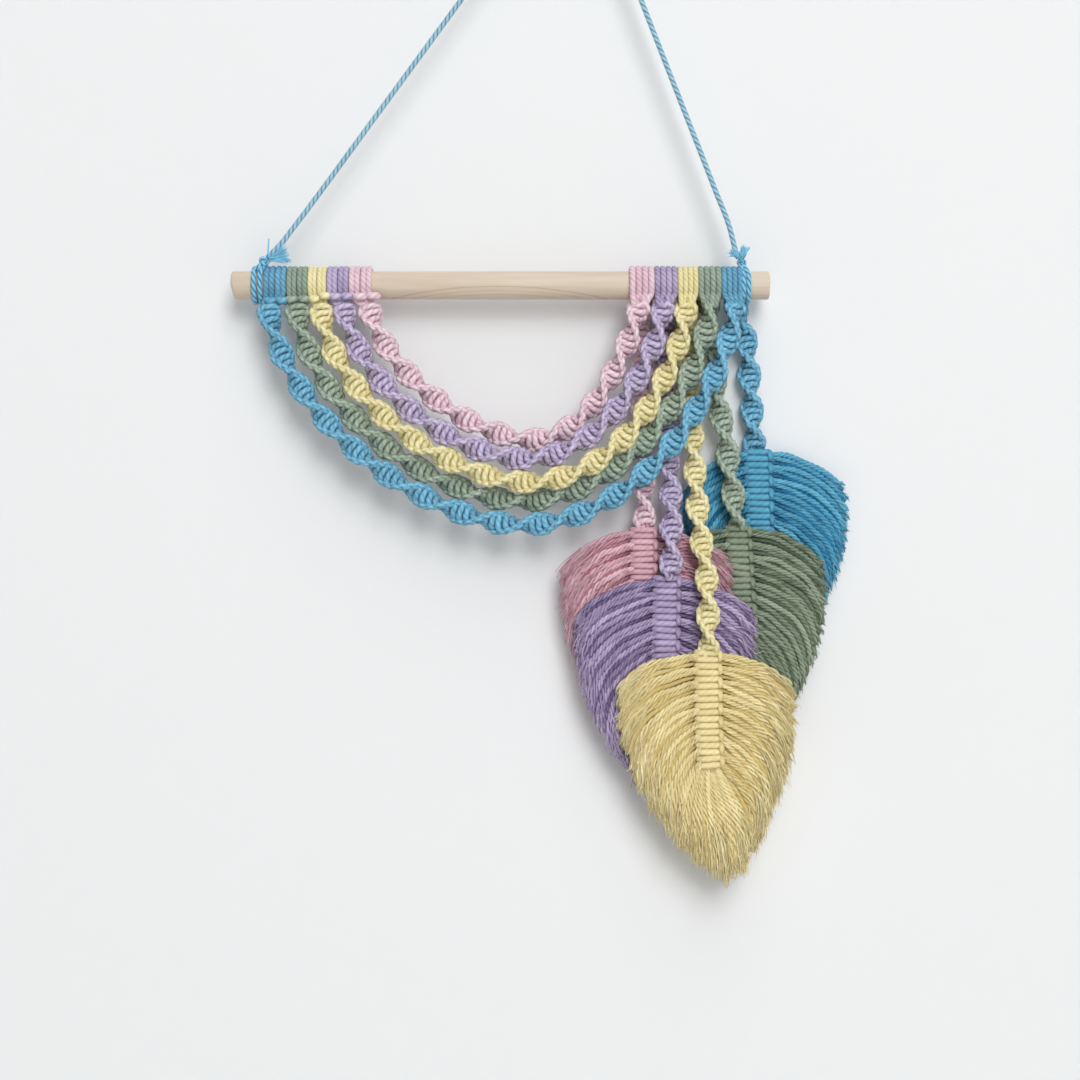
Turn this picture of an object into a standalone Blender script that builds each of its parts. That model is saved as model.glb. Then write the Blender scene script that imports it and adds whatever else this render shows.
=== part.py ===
"""Macrame wall hanging: five spiral sinnets on a wooden dowel, each ending in a fringed leaf.

Metres, +Z up, +X to the viewer's right and +Y into the wall. The origin is the inside of the
hanger's bend, where a nail carries it. Sizes are written in millimetres and scaled by MM.

Every sinnet is four 3 mm cords. On the left they are hitched over the dowel, then they are
knotted into a swag in front of it, turn over the dowel on the right and drop down behind it
to a leaf. Each of those stretches is a solid of its own, a hair apart from the next.
"""

import math
from collections import namedtuple

import bmesh
import bpy
from mathutils import Vector

MM = 0.001
CORD = 3.0                       # thickness of every cord
GAP = 0.3                        # left between pieces that touch

DOWEL_LENGTH = 305.0
DOWEL_DIAMETER = 16.0
DOWEL_EDGE = 1.2                 # worn edge of the sawn ends
DOWEL_CENTRE = Vector((-43.2, 0.0, -243.3))

BAND_SECTIONS = 12               # the cords round the dowel run in this many straight stretches
WRAP_INNER = (DOWEL_DIAMETER / 2 + GAP) / math.cos(math.pi / BAND_SECTIONS)
WRAP_OUTER = DOWEL_DIAMETER / 2 + GAP + CORD
TURN_START = math.radians(27)    # where the turns on the right meet their swags and their drops,
TURN_END = math.radians(275)     # measured round the dowel from straight below it, front first

SINNET_WIDTH = 11.8              # across a half-knot spiral where it lies flat
SINNET_THICKNESS = 6.2
HALF_TURN = 21.4                 # length in which a spiral turns over once
RING_STEP = 4.8                  # between the sections of a spiral

SWAG_TOP = -253.9
SWAG_FRONT = -8.0                # y of every swag where it leaves the dowel
SWAG_SIDES = 1.1                 # powers that shape a swag: how steep its sides fall,
SWAG_LEAN_ONSET = 2.2            # how low down its sideways shift sets in
SWAG_DEPTH_ONSET = 1.5           # and how low down it moves forward or back

LEAF_PLATE = 3.0                 # knotted strands lying side by side
LEAF_EDGE = 1.8                  # the combed-out fringe
LEAF_RIDGE_FRONT = 2.1           # the spine stands proud of the plate by these
LEAF_RIDGE_BACK = 0.9
LEAF_SPINE = 11.4                # width of the spine
LEAF_SPINE_CREST = 0.75          # share of that width where the ridge is highest
LEAF_SPINE_MOST = 0.42           # most of a narrow section's width that the spine's half takes
LEAF_SPINE_END = 0.52            # shares of the leaf's length that the spine runs down
LEAF_SPINE_FADE = 0.08           # and in which its ridge dies out
LEAF_RAGGED = 0.8                # how far the trimmed edge wanders in and out,
LEAF_RAGGED_STEP = 2.3           # and how fast from one section to the next
LEAF_SECTIONS = 16

# One row for each colour. Heads are the stretches of dowel that its cords cover, from left to
# right. The swag hangs between left_x and right_x, sinks by depth, is shifted sideways by lean
# at its lowest point and lies at low_y there.
Sinnet = namedtuple("Sinnet", "colour left_head right_head left_x right_x depth roundness lean low_y")
SINNETS = (
    Sinnet("blue", (-177.0, -164.0), (81.7, 93.6), -174.2, 89.6, 125.4, 1.58, 12.6, -8.0),
    Sinnet("green", (-164.0, -152.1), (68.6, 81.7), -158.2, 75.2, 111.8, 1.66, 10.8, -4.0),
    Sinnet("yellow", (-152.1, -141.3), (57.0, 68.6), -144.8, 61.9, 101.5, 1.63, 14.7, -12.6),
    Sinnet("lavender", (-141.3, -128.8), (43.9, 57.0), -131.5, 48.9, 88.5, 1.57, 12.0, -11.4),
    Sinnet("pink", (-128.8, -115.7), (29.7, 43.9), -117.6, 35.1, 77.4, 1.42, 15.2, -4.6),
)

# Each drop goes down through these places. The ones in front come forward over the leaves
# that hang higher up.
Place = namedtuple("Place", "x y z")
DROPS = {
    "blue": (Place(88.6, 11.6, -244.8), Place(97.3, 11.8, -273.7), Place(99.3, 12.2, -293.6),
             Place(102.4, 12.6, -335.3)),
    "green": (Place(75.2, 11.6, -244.8), Place(80.8, 6.0, -308.4), Place(85.4, 4.8, -331.1),
              Place(88.2, 4.6, -353.8), Place(91.6, 4.6, -379.1)),
    "yellow": (Place(62.8, 11.6, -244.8), Place(65.5, 5.2, -319.7), Place(66.8, 2.6, -342.4),
               Place(69.6, -5.9, -384.0), Place(72.9, -11.3, -409.0), Place(74.0, -11.3, -451.2)),
    "lavender": (Place(50.4, 11.6, -244.8), Place(51.8, 6.6, -319.7), Place(53.0, 4.0, -350.0),
                 Place(53.6, -6.0, -379.0), Place(53.0, -6.4, -407.5)),
    "pink": (Place(37.0, 11.6, -244.8), Place(37.7, 7.4, -308.4), Place(38.0, 6.8, -334.0),
             Place(38.3, 5.0, -354.0), Place(38.8, 1.4, -380.2)),
}

# One row for each leaf, left and right being how far it spreads from its spine.
Leaf = namedtuple("Leaf", "colour top_x mid_y top_z left right length lean tip_shift")
LEAVES = (
    Leaf("blue", 103.5, 13.3, -335.6, 44.5, 52.5, 130.5, 0.03, 0.0),
    Leaf("green", 91.6, 7.7, -379.4, 47.0, 50.0, 128.0, 0.06, 0.0),
    Leaf("pink", 37.7, 2.2, -380.5, 47.0, 51.5, 128.0, 0.0, 2.0),
    Leaf("lavender", 50.6, -3.4, -407.8, 52.0, 52.5, 128.0, -0.02, 2.0),
    Leaf("yellow", 73.4, -9.0, -451.5, 51.0, 50.5, 131.8, 0.0, 10.2),
)

# How wide every leaf is, as a share of its spread, at each share of the way down it.
Outline = namedtuple("Outline", "down width")
LEAF_OUTLINE = (
    Outline(0.00, 0.24), Outline(0.05, 0.52), Outline(0.12, 0.86), Outline(0.19, 0.98),
    Outline(0.34, 0.97), Outline(0.48, 0.90), Outline(0.60, 0.79), Outline(0.74, 0.60),
    Outline(0.85, 0.41), Outline(0.94, 0.24), Outline(1.00, 0.05),
)

# The hanger's two knots, the stretches of dowel that its turns cover, and the route of its
# cord from one knot to the other.
KNOT_RADIUS = 3.3
WRAP_LEFT = (-183.9, -177.2)
WRAP_RIGHT = (93.8, 99.3)
KNOT_LEFT = Place(-176.5, -6.8, -230.0)
KNOT_RIGHT = Place(92.8, -3.6, -228.8)
HANGER_SPACING = 7.3
HANGER_ROUTE = (
    Place(-173.9, -6.9, -227.5), Place(-167.9, -6.6, -221.4), Place(-160.6, -6.3, -212.0),
    Place(-144.2, -5.7, -190.0), Place(-122.4, -4.9, -160.0), Place(-100.6, -4.0, -130.0),
    Place(-78.8, -3.2, -100.0), Place(-57.0, -2.3, -70.0), Place(-38.8, -1.6, -45.0),
    Place(-22.1, -0.9, -22.0), Place(-11.9, -0.4, -8.0), Place(-7.3, -0.2, -1.7),
    Place(-4.0, 0.0, 0.9), Place(0.2, 0.0, 1.5), Place(4.1, 0.0, -0.1),
    Place(6.6, -0.1, -3.6), Place(10.8, -0.2, -15.0), Place(20.5, -0.6, -40.0),
    Place(32.2, -1.1, -70.0), Place(43.8, -1.6, -100.0), Place(55.4, -2.1, -130.0),
    Place(67.1, -2.5, -160.0), Place(78.7, -3.0, -190.0), Place(87.0, -3.4, -212.0),
    Place(88.7, -3.5, -219.0), Place(90.2, -3.6, -225.5),
)

# The frayed free ends of the two ties: where each starts and ends, and its half-widths there.
Tail = namedtuple("Tail", "name start end start_half end_half")
TAILS = (
    Tail("hanger_tail_left", Place(-172.6, -7.6, -230.5), Place(-163.0, -7.2, -226.8), 1.2, 4.0),
    Tail("hanger_tail_right", Place(94.7, -4.4, -225.8), Place(97.0, -5.0, -221.8), 1.2, 2.0),
    Tail("hanger_tail_right_short", Place(90.5, -6.4, -227.3), Place(86.8, -7.2, -224.9), 1.0, 1.5),
)
TAIL_THICKNESS = 1.3

COTTON_ROUGHNESS = 0.9
COTTON = {
    "blue": (0.20, 0.47, 0.66),
    "green": (0.26, 0.34, 0.24),
    "yellow": (0.82, 0.70, 0.30),
    "lavender": (0.38, 0.30, 0.52),
    "pink": (0.76, 0.45, 0.55),
}
WOOD = (0.80, 0.68, 0.52)
WOOD_ROUGHNESS = 0.55


def finish_material(name, colour, roughness):
    """A plain Principled finish, made once and shared."""
    material = bpy.data.materials.get(name)
    if material:
        return material
    material = bpy.data.materials.new(name)
    material.use_nodes = True
    shader = material.node_tree.nodes["Principled BSDF"]
    shader.inputs["Base Color"].default_value = (*colour, 1.0)
    shader.inputs["Roughness"].default_value = roughness
    shader.inputs["Metallic"].default_value = 0.0
    return material


def cotton(colour):
    return finish_material(f"cotton_{colour}", COTTON[colour], COTTON_ROUGHNESS)


def new_object(name, bm, material):
    """Turn a bmesh in millimetres into one object in metres."""
    bmesh.ops.scale(bm, vec=Vector((MM, MM, MM)), verts=bm.verts)
    bmesh.ops.recalc_face_normals(bm, faces=bm.faces)
    mesh = bpy.data.meshes.new(name)
    bm.to_mesh(mesh)
    bm.free()
    mesh.shade_smooth()
    mesh.set_sharp_from_angle(angle=math.radians(40))
    mesh.materials.append(material)
    piece = bpy.data.objects.new(name, mesh)
    bpy.context.scene.collection.objects.link(piece)
    return piece


def loft(rings, closed=False):
    """One closed skin over a row of rings that all have the same number of corners."""
    bm = bmesh.new()
    loops = [[bm.verts.new(corner) for corner in ring] for ring in rings]
    spans = list(zip(loops, loops[1:]))
    if closed:
        spans.append((loops[-1], loops[0]))
    for near, far in spans:
        for i in range(len(near)):
            j = (i + 1) % len(near)
            bm.faces.new((near[i], near[j], far[j], far[i]))
    if not closed:
        bm.faces.new(loops[0])
        bm.faces.new(loops[-1])
    return bm


def outline_width(down):
    """How wide a leaf is at any share of the way down it."""
    for upper, lower in zip(LEAF_OUTLINE, LEAF_OUTLINE[1:]):
        if down <= lower.down:
            share = (down - upper.down) / (lower.down - upper.down)
            return upper.width + share * (lower.width - upper.width)
    return LEAF_OUTLINE[-1].width


def smooth_curve(places, per_span=24):
    """Many points on one smooth curve through a few places."""
    knots = [Vector(place) for place in places]
    knots = [2 * knots[0] - knots[1], *knots, 2 * knots[-1] - knots[-2]]
    curve = []
    for before, a, b, after in zip(knots, knots[1:], knots[2:], knots[3:]):
        span = (b - a).length
        slope_a = (b - before) * span / ((a - before).length + span)
        slope_b = (after - a) * span / ((after - b).length + span)
        for i in range(per_span):
            u = i / per_span
            curve.append(a * (2 * u**3 - 3 * u**2 + 1) + slope_a * (u**3 - 2 * u**2 + u)
                         + b * (3 * u**2 - 2 * u**3) + slope_b * (u**3 - u**2))
    curve.append(knots[-2])
    return curve


def even_points(curve, spacing):
    """Points at equal lengths along a curve, its two ends among them."""
    lengths = [0.0]
    for a, b in zip(curve, curve[1:]):
        lengths.append(lengths[-1] + (b - a).length)
    count = max(2, round(lengths[-1] / spacing))
    points = []
    k = 0
    for i in range(count + 1):
        target = lengths[-1] * i / count
        while k < len(curve) - 2 and lengths[k + 1] < target:
            k += 1
        share = (target - lengths[k]) / (lengths[k + 1] - lengths[k])
        points.append(curve[k].lerp(curve[k + 1], min(1.0, share)))
    return points


def swag_curve(sinnet, steps=240):
    """The U that a sinnet hangs in: steep sides, a round bottom, its lowest point off centre."""
    middle = (sinnet.left_x + sinnet.right_x) / 2
    half = (sinnet.right_x - sinnet.left_x) / 2
    curve = []
    for i in range(steps + 1):
        angle = math.pi * i / steps
        sink = max(0.0, math.sin(angle)) ** (2 / sinnet.roundness)
        spread = math.copysign(abs(math.cos(angle)) ** SWAG_SIDES, math.cos(angle))
        x = middle - half * spread + sinnet.lean * sink**SWAG_LEAN_ONSET
        y = SWAG_FRONT + (sinnet.low_y - SWAG_FRONT) * sink**SWAG_DEPTH_ONSET
        curve.append(Vector((x, y, SWAG_TOP - sinnet.depth * sink)))
    return curve


def spiral(points):
    """Sections of a half-knot spiral: a flat hexagon that turns left-handed as it goes down.

    The first and the last section lie level, where the sinnet meets the dowel or its leaf.
    """
    wide, thick = SINNET_WIDTH / 2, SINNET_THICKNESS / 2
    corners = ((wide, 0.0), (wide / 2, thick), (-wide / 2, thick),
               (-wide, 0.0), (-wide / 2, -thick), (wide / 2, -thick))
    rings = []
    length = 0.0
    for i, point in enumerate(points):
        if i:
            length += (point - points[i - 1]).length
        along = (points[min(i + 1, len(points) - 1)] - points[max(i - 1, 0)]).normalized()
        if i in (0, len(points) - 1):
            along = Vector((0.0, 0.0, math.copysign(1.0, along.z)))
        front = Vector((0.0, -1.0, 0.0))
        front = (front - along * front.dot(along)).normalized()
        side = front.cross(along)
        turn = -math.pi * length / HALF_TURN
        across = side * math.cos(turn) + front * math.sin(turn)
        up = along.cross(across)
        rings.append([point + across * a + up * b for a, b in corners])
    return rings


def band(x_from, x_to, start, end, closed=False):
    """Cords lying side by side round the dowel, from one angle to another.

    Angles go from straight under the dowel, through its front, over its top and down its back.
    """
    edge = CORD / 3
    profile = ((x_from, WRAP_INNER), (x_from, WRAP_OUTER - edge), (x_from + edge, WRAP_OUTER),
               (x_to - edge, WRAP_OUTER), (x_to, WRAP_OUTER - edge), (x_to, WRAP_INNER))
    count = BAND_SECTIONS if closed else BAND_SECTIONS + 1
    rings = []
    for i in range(count):
        angle = start + (end - start) * i / BAND_SECTIONS
        outward = Vector((0.0, -math.sin(angle), -math.cos(angle)))
        rings.append([Vector((x, 0.0, DOWEL_CENTRE.z)) + outward * radius for x, radius in profile])
    return loft(rings, closed)


def build_dowel():
    bm = bmesh.new()
    bmesh.ops.create_cone(bm, cap_ends=True, segments=32, radius1=DOWEL_DIAMETER / 2,
                          radius2=DOWEL_DIAMETER / 2, depth=DOWEL_LENGTH)
    rims = [edge for edge in bm.edges if len(edge.link_faces) == 2
            and any(len(face.verts) > 4 for face in edge.link_faces)]
    bmesh.ops.bevel(bm, geom=rims, offset=DOWEL_EDGE, offset_type="OFFSET", segments=2,
                    profile=0.5, affect="EDGES", material=-1)
    for vert in bm.verts:
        vert.co = Vector((vert.co.z, vert.co.y, -vert.co.x)) + DOWEL_CENTRE
    return new_object("dowel", bm, finish_material("wood", WOOD, WOOD_ROUGHNESS))


def build_heads(sinnet):
    """The hitches on the left go all the way round, the turn on the right stops behind."""
    left = band(sinnet.left_head[0] + GAP / 2, sinnet.left_head[1] - GAP / 2,
                0.0, math.tau, closed=True)
    new_object(f"head_left_{sinnet.colour}", left, cotton(sinnet.colour))
    right = band(sinnet.right_head[0] + GAP / 2, sinnet.right_head[1] - GAP / 2,
                 TURN_START, TURN_END)
    new_object(f"head_right_{sinnet.colour}", right, cotton(sinnet.colour))


def build_swag(sinnet):
    points = even_points(swag_curve(sinnet), RING_STEP)
    new_object(f"swag_{sinnet.colour}", loft(spiral(points)), cotton(sinnet.colour))


def build_drop(colour):
    points = even_points(smooth_curve(DROPS[colour]), RING_STEP)
    new_object(f"drop_{colour}", loft(spiral(points)), cotton(colour))


def leaf_section(left, right, spine, ridge, y, z):
    """Twelve corners across a leaf: a thin fringe on each side and the spine's ridge between."""
    half = min(LEAF_SPINE / 2, LEAF_SPINE_MOST * (right - left))
    crest = LEAF_SPINE_CREST * half
    front, back = LEAF_RIDGE_FRONT * ridge, LEAF_RIDGE_BACK * ridge
    plate, edge = LEAF_PLATE / 2, LEAF_EDGE / 2
    corners = (
        (left, -edge), (spine - half, -plate), (spine - crest, -plate - front),
        (spine + crest, -plate - front), (spine + half, -plate), (right, -edge),
        (right, edge), (spine + half, plate), (spine + crest, plate + back),
        (spine - crest, plate + back), (spine - half, plate), (left, edge),
    )
    return [Vector((x, y + depth, z)) for x, depth in corners]


def build_leaf(leaf):
    rings = []
    for i in range(LEAF_SECTIONS + 1):
        down = i / LEAF_SECTIONS
        width = outline_width(down)
        spine = leaf.top_x + leaf.lean * leaf.length * down + leaf.tip_shift * down**3
        ragged = LEAF_RAGGED * math.sin(LEAF_RAGGED_STEP * i + leaf.top_x) * 4 * down * (1 - down)
        left = spine - leaf.left * width - ragged
        right = spine + leaf.right * width - ragged
        fade = (LEAF_SPINE_END + LEAF_SPINE_FADE - down) / LEAF_SPINE_FADE
        ridge = min(1.0, max(0.0, fade))
        z = leaf.top_z - leaf.length * down
        rings.append(leaf_section(left, right, spine, ridge, leaf.mid_y, z))
    new_object(f"leaf_{leaf.colour}", loft(rings), cotton(leaf.colour))


def build_hanger_cord():
    points = even_points(smooth_curve(HANGER_ROUTE), HANGER_SPACING)
    curve = bpy.data.curves.new("hanger_cord", "CURVE")
    curve.dimensions = "3D"
    curve.bevel_depth = CORD / 2 * MM
    curve.bevel_resolution = 2
    curve.use_fill_caps = True
    spline = curve.splines.new("POLY")
    spline.points.add(len(points) - 1)
    for spline_point, point in zip(spline.points, points):
        spline_point.co = (*(point * MM), 1.0)
    curve.materials.append(cotton("blue"))
    piece = bpy.data.objects.new("hanger_cord", curve)
    bpy.context.scene.collection.objects.link(piece)


def build_tie(side, wrap, knot):
    """Two turns round the dowel, and the knot that lies on them."""
    new_object(f"hanger_wrap_{side}", band(*wrap, 0.0, math.tau, closed=True), cotton("blue"))
    bm = bmesh.new()
    bmesh.ops.create_uvsphere(bm, u_segments=12, v_segments=8, radius=KNOT_RADIUS)
    bmesh.ops.translate(bm, vec=Vector(knot), verts=bm.verts)
    new_object(f"hanger_knot_{side}", bm, cotton("blue"))


def build_tail(tail, sections=4, corners=8):
    """A frayed cord end: round where it leaves the knot, a flat brush where it stops."""
    start, end = Vector(tail.start), Vector(tail.end)
    along = (end - start).normalized()
    wide = along.cross(Vector((0.0, 1.0, 0.0))).normalized()
    deep = along.cross(wide)
    rings = []
    for i in range(sections + 1):
        share = i / sections
        half = tail.start_half + (tail.end_half - tail.start_half) * share
        centre = start.lerp(end, share)
        rings.append([
            centre + wide * half * math.cos(turn) + deep * min(half, TAIL_THICKNESS) * math.sin(turn)
            for turn in (math.tau * k / corners for k in range(corners))
        ])
    new_object(tail.name, loft(rings), cotton("blue"))


for leftover in list(bpy.data.objects):
    bpy.data.objects.remove(leftover, do_unlink=True)

build_dowel()
for sinnet in SINNETS:
    build_heads(sinnet)
    build_swag(sinnet)
    build_drop(sinnet.colour)
for leaf in LEAVES:
    build_leaf(leaf)
build_hanger_cord()
build_tie("left", WRAP_LEFT, KNOT_LEFT)
build_tie("right", WRAP_RIGHT, KNOT_RIGHT)
for tail in TAILS:
    build_tail(tail)
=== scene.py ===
"""A macrame wall hanging: five knotted cotton swags on a dowel, each ending in a combed cotton leaf.

Shapes are worked out in millimetres and scaled by MM. X runs to the viewer's right, Y into the wall, Z up.
"""
import math
from collections import namedtuple

import bmesh
import bpy
import numpy as np
from mathutils import Matrix, Vector


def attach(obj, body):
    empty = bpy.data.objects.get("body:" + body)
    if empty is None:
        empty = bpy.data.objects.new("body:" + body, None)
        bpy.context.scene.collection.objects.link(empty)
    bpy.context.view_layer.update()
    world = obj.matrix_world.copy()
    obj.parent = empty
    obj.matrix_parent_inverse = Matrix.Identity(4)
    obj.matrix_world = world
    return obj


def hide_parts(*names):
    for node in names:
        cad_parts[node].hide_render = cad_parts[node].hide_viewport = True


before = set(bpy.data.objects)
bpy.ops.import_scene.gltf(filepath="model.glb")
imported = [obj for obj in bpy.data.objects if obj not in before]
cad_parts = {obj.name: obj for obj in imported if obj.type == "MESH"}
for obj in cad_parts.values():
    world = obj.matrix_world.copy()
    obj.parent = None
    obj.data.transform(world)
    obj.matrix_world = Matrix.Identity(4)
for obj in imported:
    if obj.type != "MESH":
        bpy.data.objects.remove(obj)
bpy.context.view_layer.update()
MM = 0.001


# ---- The viewpoint ----
# The hanging is seen straight on from 1.2 m, level with the bottom of the outermost swag. The picture
# ends at the top before the hanger's bend.
SEEN_FROM = (-20.8, -1200, -387.9)
FOCAL_LENGTH, SENSOR_WIDTH = 70.4, 36.0

camera = bpy.data.objects.new("viewpoint", bpy.data.cameras.new("viewpoint"))
camera.data.sensor_width = SENSOR_WIDTH
camera.data.lens = FOCAL_LENGTH
camera.location = [v * MM for v in SEEN_FROM]
camera.rotation_euler = (math.radians(90), 0, 0)
bpy.context.scene.collection.objects.link(camera)
bpy.context.scene.camera = camera


# ---- The hanger ----
# A length of soft blue cotton cord in three twisted plies, taken up over a nail and tied round the dowel
# near each end. It hangs taut under the weight of the knotted work.
CORD_ACROSS = 3.0
CORD_LAY = 11.5  # one full turn of a ply round the cord
CORD_PLIES = 3
FIBRES_ROUND, FIBRES_ALONG = 26.0, 220.0  # fineness of the fibres, round the cord and along a metre of it
DYE_PATCHES = 110.0  # fineness of the uneven dye, in a metre


def srgb(code):
    """A hex colour as the linear colour that a socket takes."""
    parts = [int(code[i:i + 2], 16) / 255 for i in (0, 2, 4)]
    return tuple(p / 12.92 if p <= 0.04045 else ((p + 0.055) / 1.055) ** 2.4 for p in parts) + (1.0,)


class Level:
    """One socket of a finish, so that its maths can be written as an expression."""

    def __init__(self, finish, socket):
        self.finish, self.socket = finish, socket

    def maths(self, operation, *values, clamp=False):
        settings = {"operation": operation, "use_clamp": clamp}
        return self.finish.node("ShaderNodeMath", settings, dict(enumerate(values)))

    def __add__(self, other):
        return self.maths("ADD", self, other)

    def __sub__(self, other):
        return self.maths("SUBTRACT", self, other)

    def __rsub__(self, other):
        return self.maths("SUBTRACT", other, self)

    def __mul__(self, other):
        return self.maths("MULTIPLY", self, other)

    def __pow__(self, other):
        return self.maths("POWER", self, other)

    def __abs__(self):
        return self.maths("ABSOLUTE", self)

    def sine(self):
        return self.maths("SINE", self)

    def held(self):
        """The level held between 0 and 1."""
        return self.maths("ADD", self, 0.0, clamp=True)

    __radd__, __rmul__ = __add__, __mul__


class Finish:
    """A material, built one node at a time."""

    def __init__(self, name):
        self.material = bpy.data.materials.new(name)
        self.material.use_nodes = True
        self.tree = self.material.node_tree
        self.tree.nodes.clear()

    def node(self, kind, settings=None, sockets=None, output=0):
        """One node, with its settings and the values or links of its sockets."""
        made = self.tree.nodes.new(kind)
        for name, value in (settings or {}).items():
            setattr(made, name, value)
        for name, value in (sockets or {}).items():
            if isinstance(value, Level):
                self.tree.links.new(value.socket, made.inputs[name])
            else:
                made.inputs[name].default_value = value
        return Level(self, made.outputs[output]) if made.outputs else None

    def split(self, vector):
        """The three numbers of a vector."""
        made = self.node("ShaderNodeSeparateXYZ", None, {0: vector}).socket.node
        return [Level(self, output) for output in made.outputs]

    def blend(self, how_much, first, second):
        """Two colours mixed."""
        sockets = {0: how_much, 6: first, 7: second}
        return self.node("ShaderNodeMix", {"data_type": "RGBA"}, sockets, output=2)

    def surface(self, sockets):
        shader = self.node("ShaderNodeBsdfPrincipled", None, sockets)
        self.node("ShaderNodeOutputMaterial", None, {"Surface": shader})
        return self.material


def cotton(name, light, dark, laid=1.0, lay=CORD_LAY, relief=0.45):
    """Cotton in three plies that show as firmly as they are laid, with fine fibres and a soft sheen.

    lay is the length of a ply's full turn and relief the depth of its grooves and fibres, both in mm.
    """
    finish = Finish(name)
    around, along, _ = finish.split(finish.node("ShaderNodeUVMap", {"uv_map": "lay"}))
    winding = around + along * (1 / (lay * MM))
    shade = finish.node("ShaderNodeAttribute", {"attribute_name": "shade"}, None, output=2)
    fibres_at = finish.node("ShaderNodeCombineXYZ", None, {
        0: winding * FIBRES_ROUND, 1: along * FIBRES_ALONG, 2: shade * 40.0})
    fibres = finish.node("ShaderNodeTexNoise", None, {"Vector": fibres_at, "Scale": 1.0, "Detail": 2.0})
    place = finish.node("ShaderNodeTexCoord", None, None, output=3)
    dye = finish.node("ShaderNodeTexNoise", None, {"Vector": place, "Scale": DYE_PATCHES, "Detail": 3.0})
    # the shade attribute holds each length's own tone and the painted shade of its sides, gaps and cores;
    # fibres and dye are the cotton's own
    tone = shade * 0.8 + fibres * 0.6 + dye * 0.35 - 0.42
    height = fibres * 0.6
    if laid:  # painted shade: the plies' crests are light, and the grooves between them dark
        crest = abs((winding * (math.pi * CORD_PLIES)).sine()) ** 0.7
        tone = tone * (1 - 0.5 * laid) + crest * (0.75 * laid) - 0.16 * laid
        height = height + crest * (0.7 * laid)
    # the tone blends from the dark colour, painted shade in grooves and gaps, to the lit one; fibres and dye
    # move it a little too
    colour = finish.blend((tone * 1.3 - 0.14).held(), srgb(dark), srgb(light))
    bump = finish.node("ShaderNodeBump", None, {"Strength": 0.9, "Distance": relief * MM, "Height": height})
    return finish.surface({
        "Base Color": colour, "Roughness": 0.82 + fibres * 0.12, "Normal": bump, "Specular IOR Level": 0.18,
        "Sheen Weight": 0.10, "Sheen Roughness": 0.6,
    })


def faired(places, step):
    """A smooth line through a few places, with points a step apart."""
    places = np.array(places, float)
    spans = np.linalg.norm(np.diff(places, axis=0), axis=1)
    knots = np.concatenate([[0.0], np.cumsum(spans)])
    slopes = np.gradient(places, knots, axis=0)
    count = max(int(round(knots[-1] / step)), 3)
    at = np.linspace(0, knots[-1], count + 1)
    span = np.clip(np.searchsorted(knots, at, side="right") - 1, 0, len(places) - 2)
    width = spans[span][:, None]
    t = ((at - knots[span])[:, None]) / width
    before, after = places[span], places[span + 1]
    return ((2 * t**3 - 3 * t**2 + 1) * before + (t**3 - 2 * t**2 + t) * width * slopes[span]
            + (3 * t**2 - 2 * t**3) * after + (t**3 - t**2) * width * slopes[span + 1])


def untwisted_sides(paths):
    """Two directions across each path at each of its points, which turn no more than the path does."""
    tangent = np.gradient(paths, axis=1)
    tangent /= np.linalg.norm(tangent, axis=2, keepdims=True) + 1e-12
    side = np.empty_like(paths)
    guess = np.where(np.abs(tangent[:, 0, 1:2]) < 0.8, [[0.0, 1.0, 0.0]], [[1.0, 0.0, 0.0]])
    for k in range(paths.shape[1]):
        now = tangent[:, k]
        guess = guess - (guess * now).sum(1, keepdims=True) * now
        guess /= np.linalg.norm(guess, axis=1, keepdims=True) + 1e-12
        side[:, k] = guess
    return side, np.cross(tangent, side)


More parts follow.
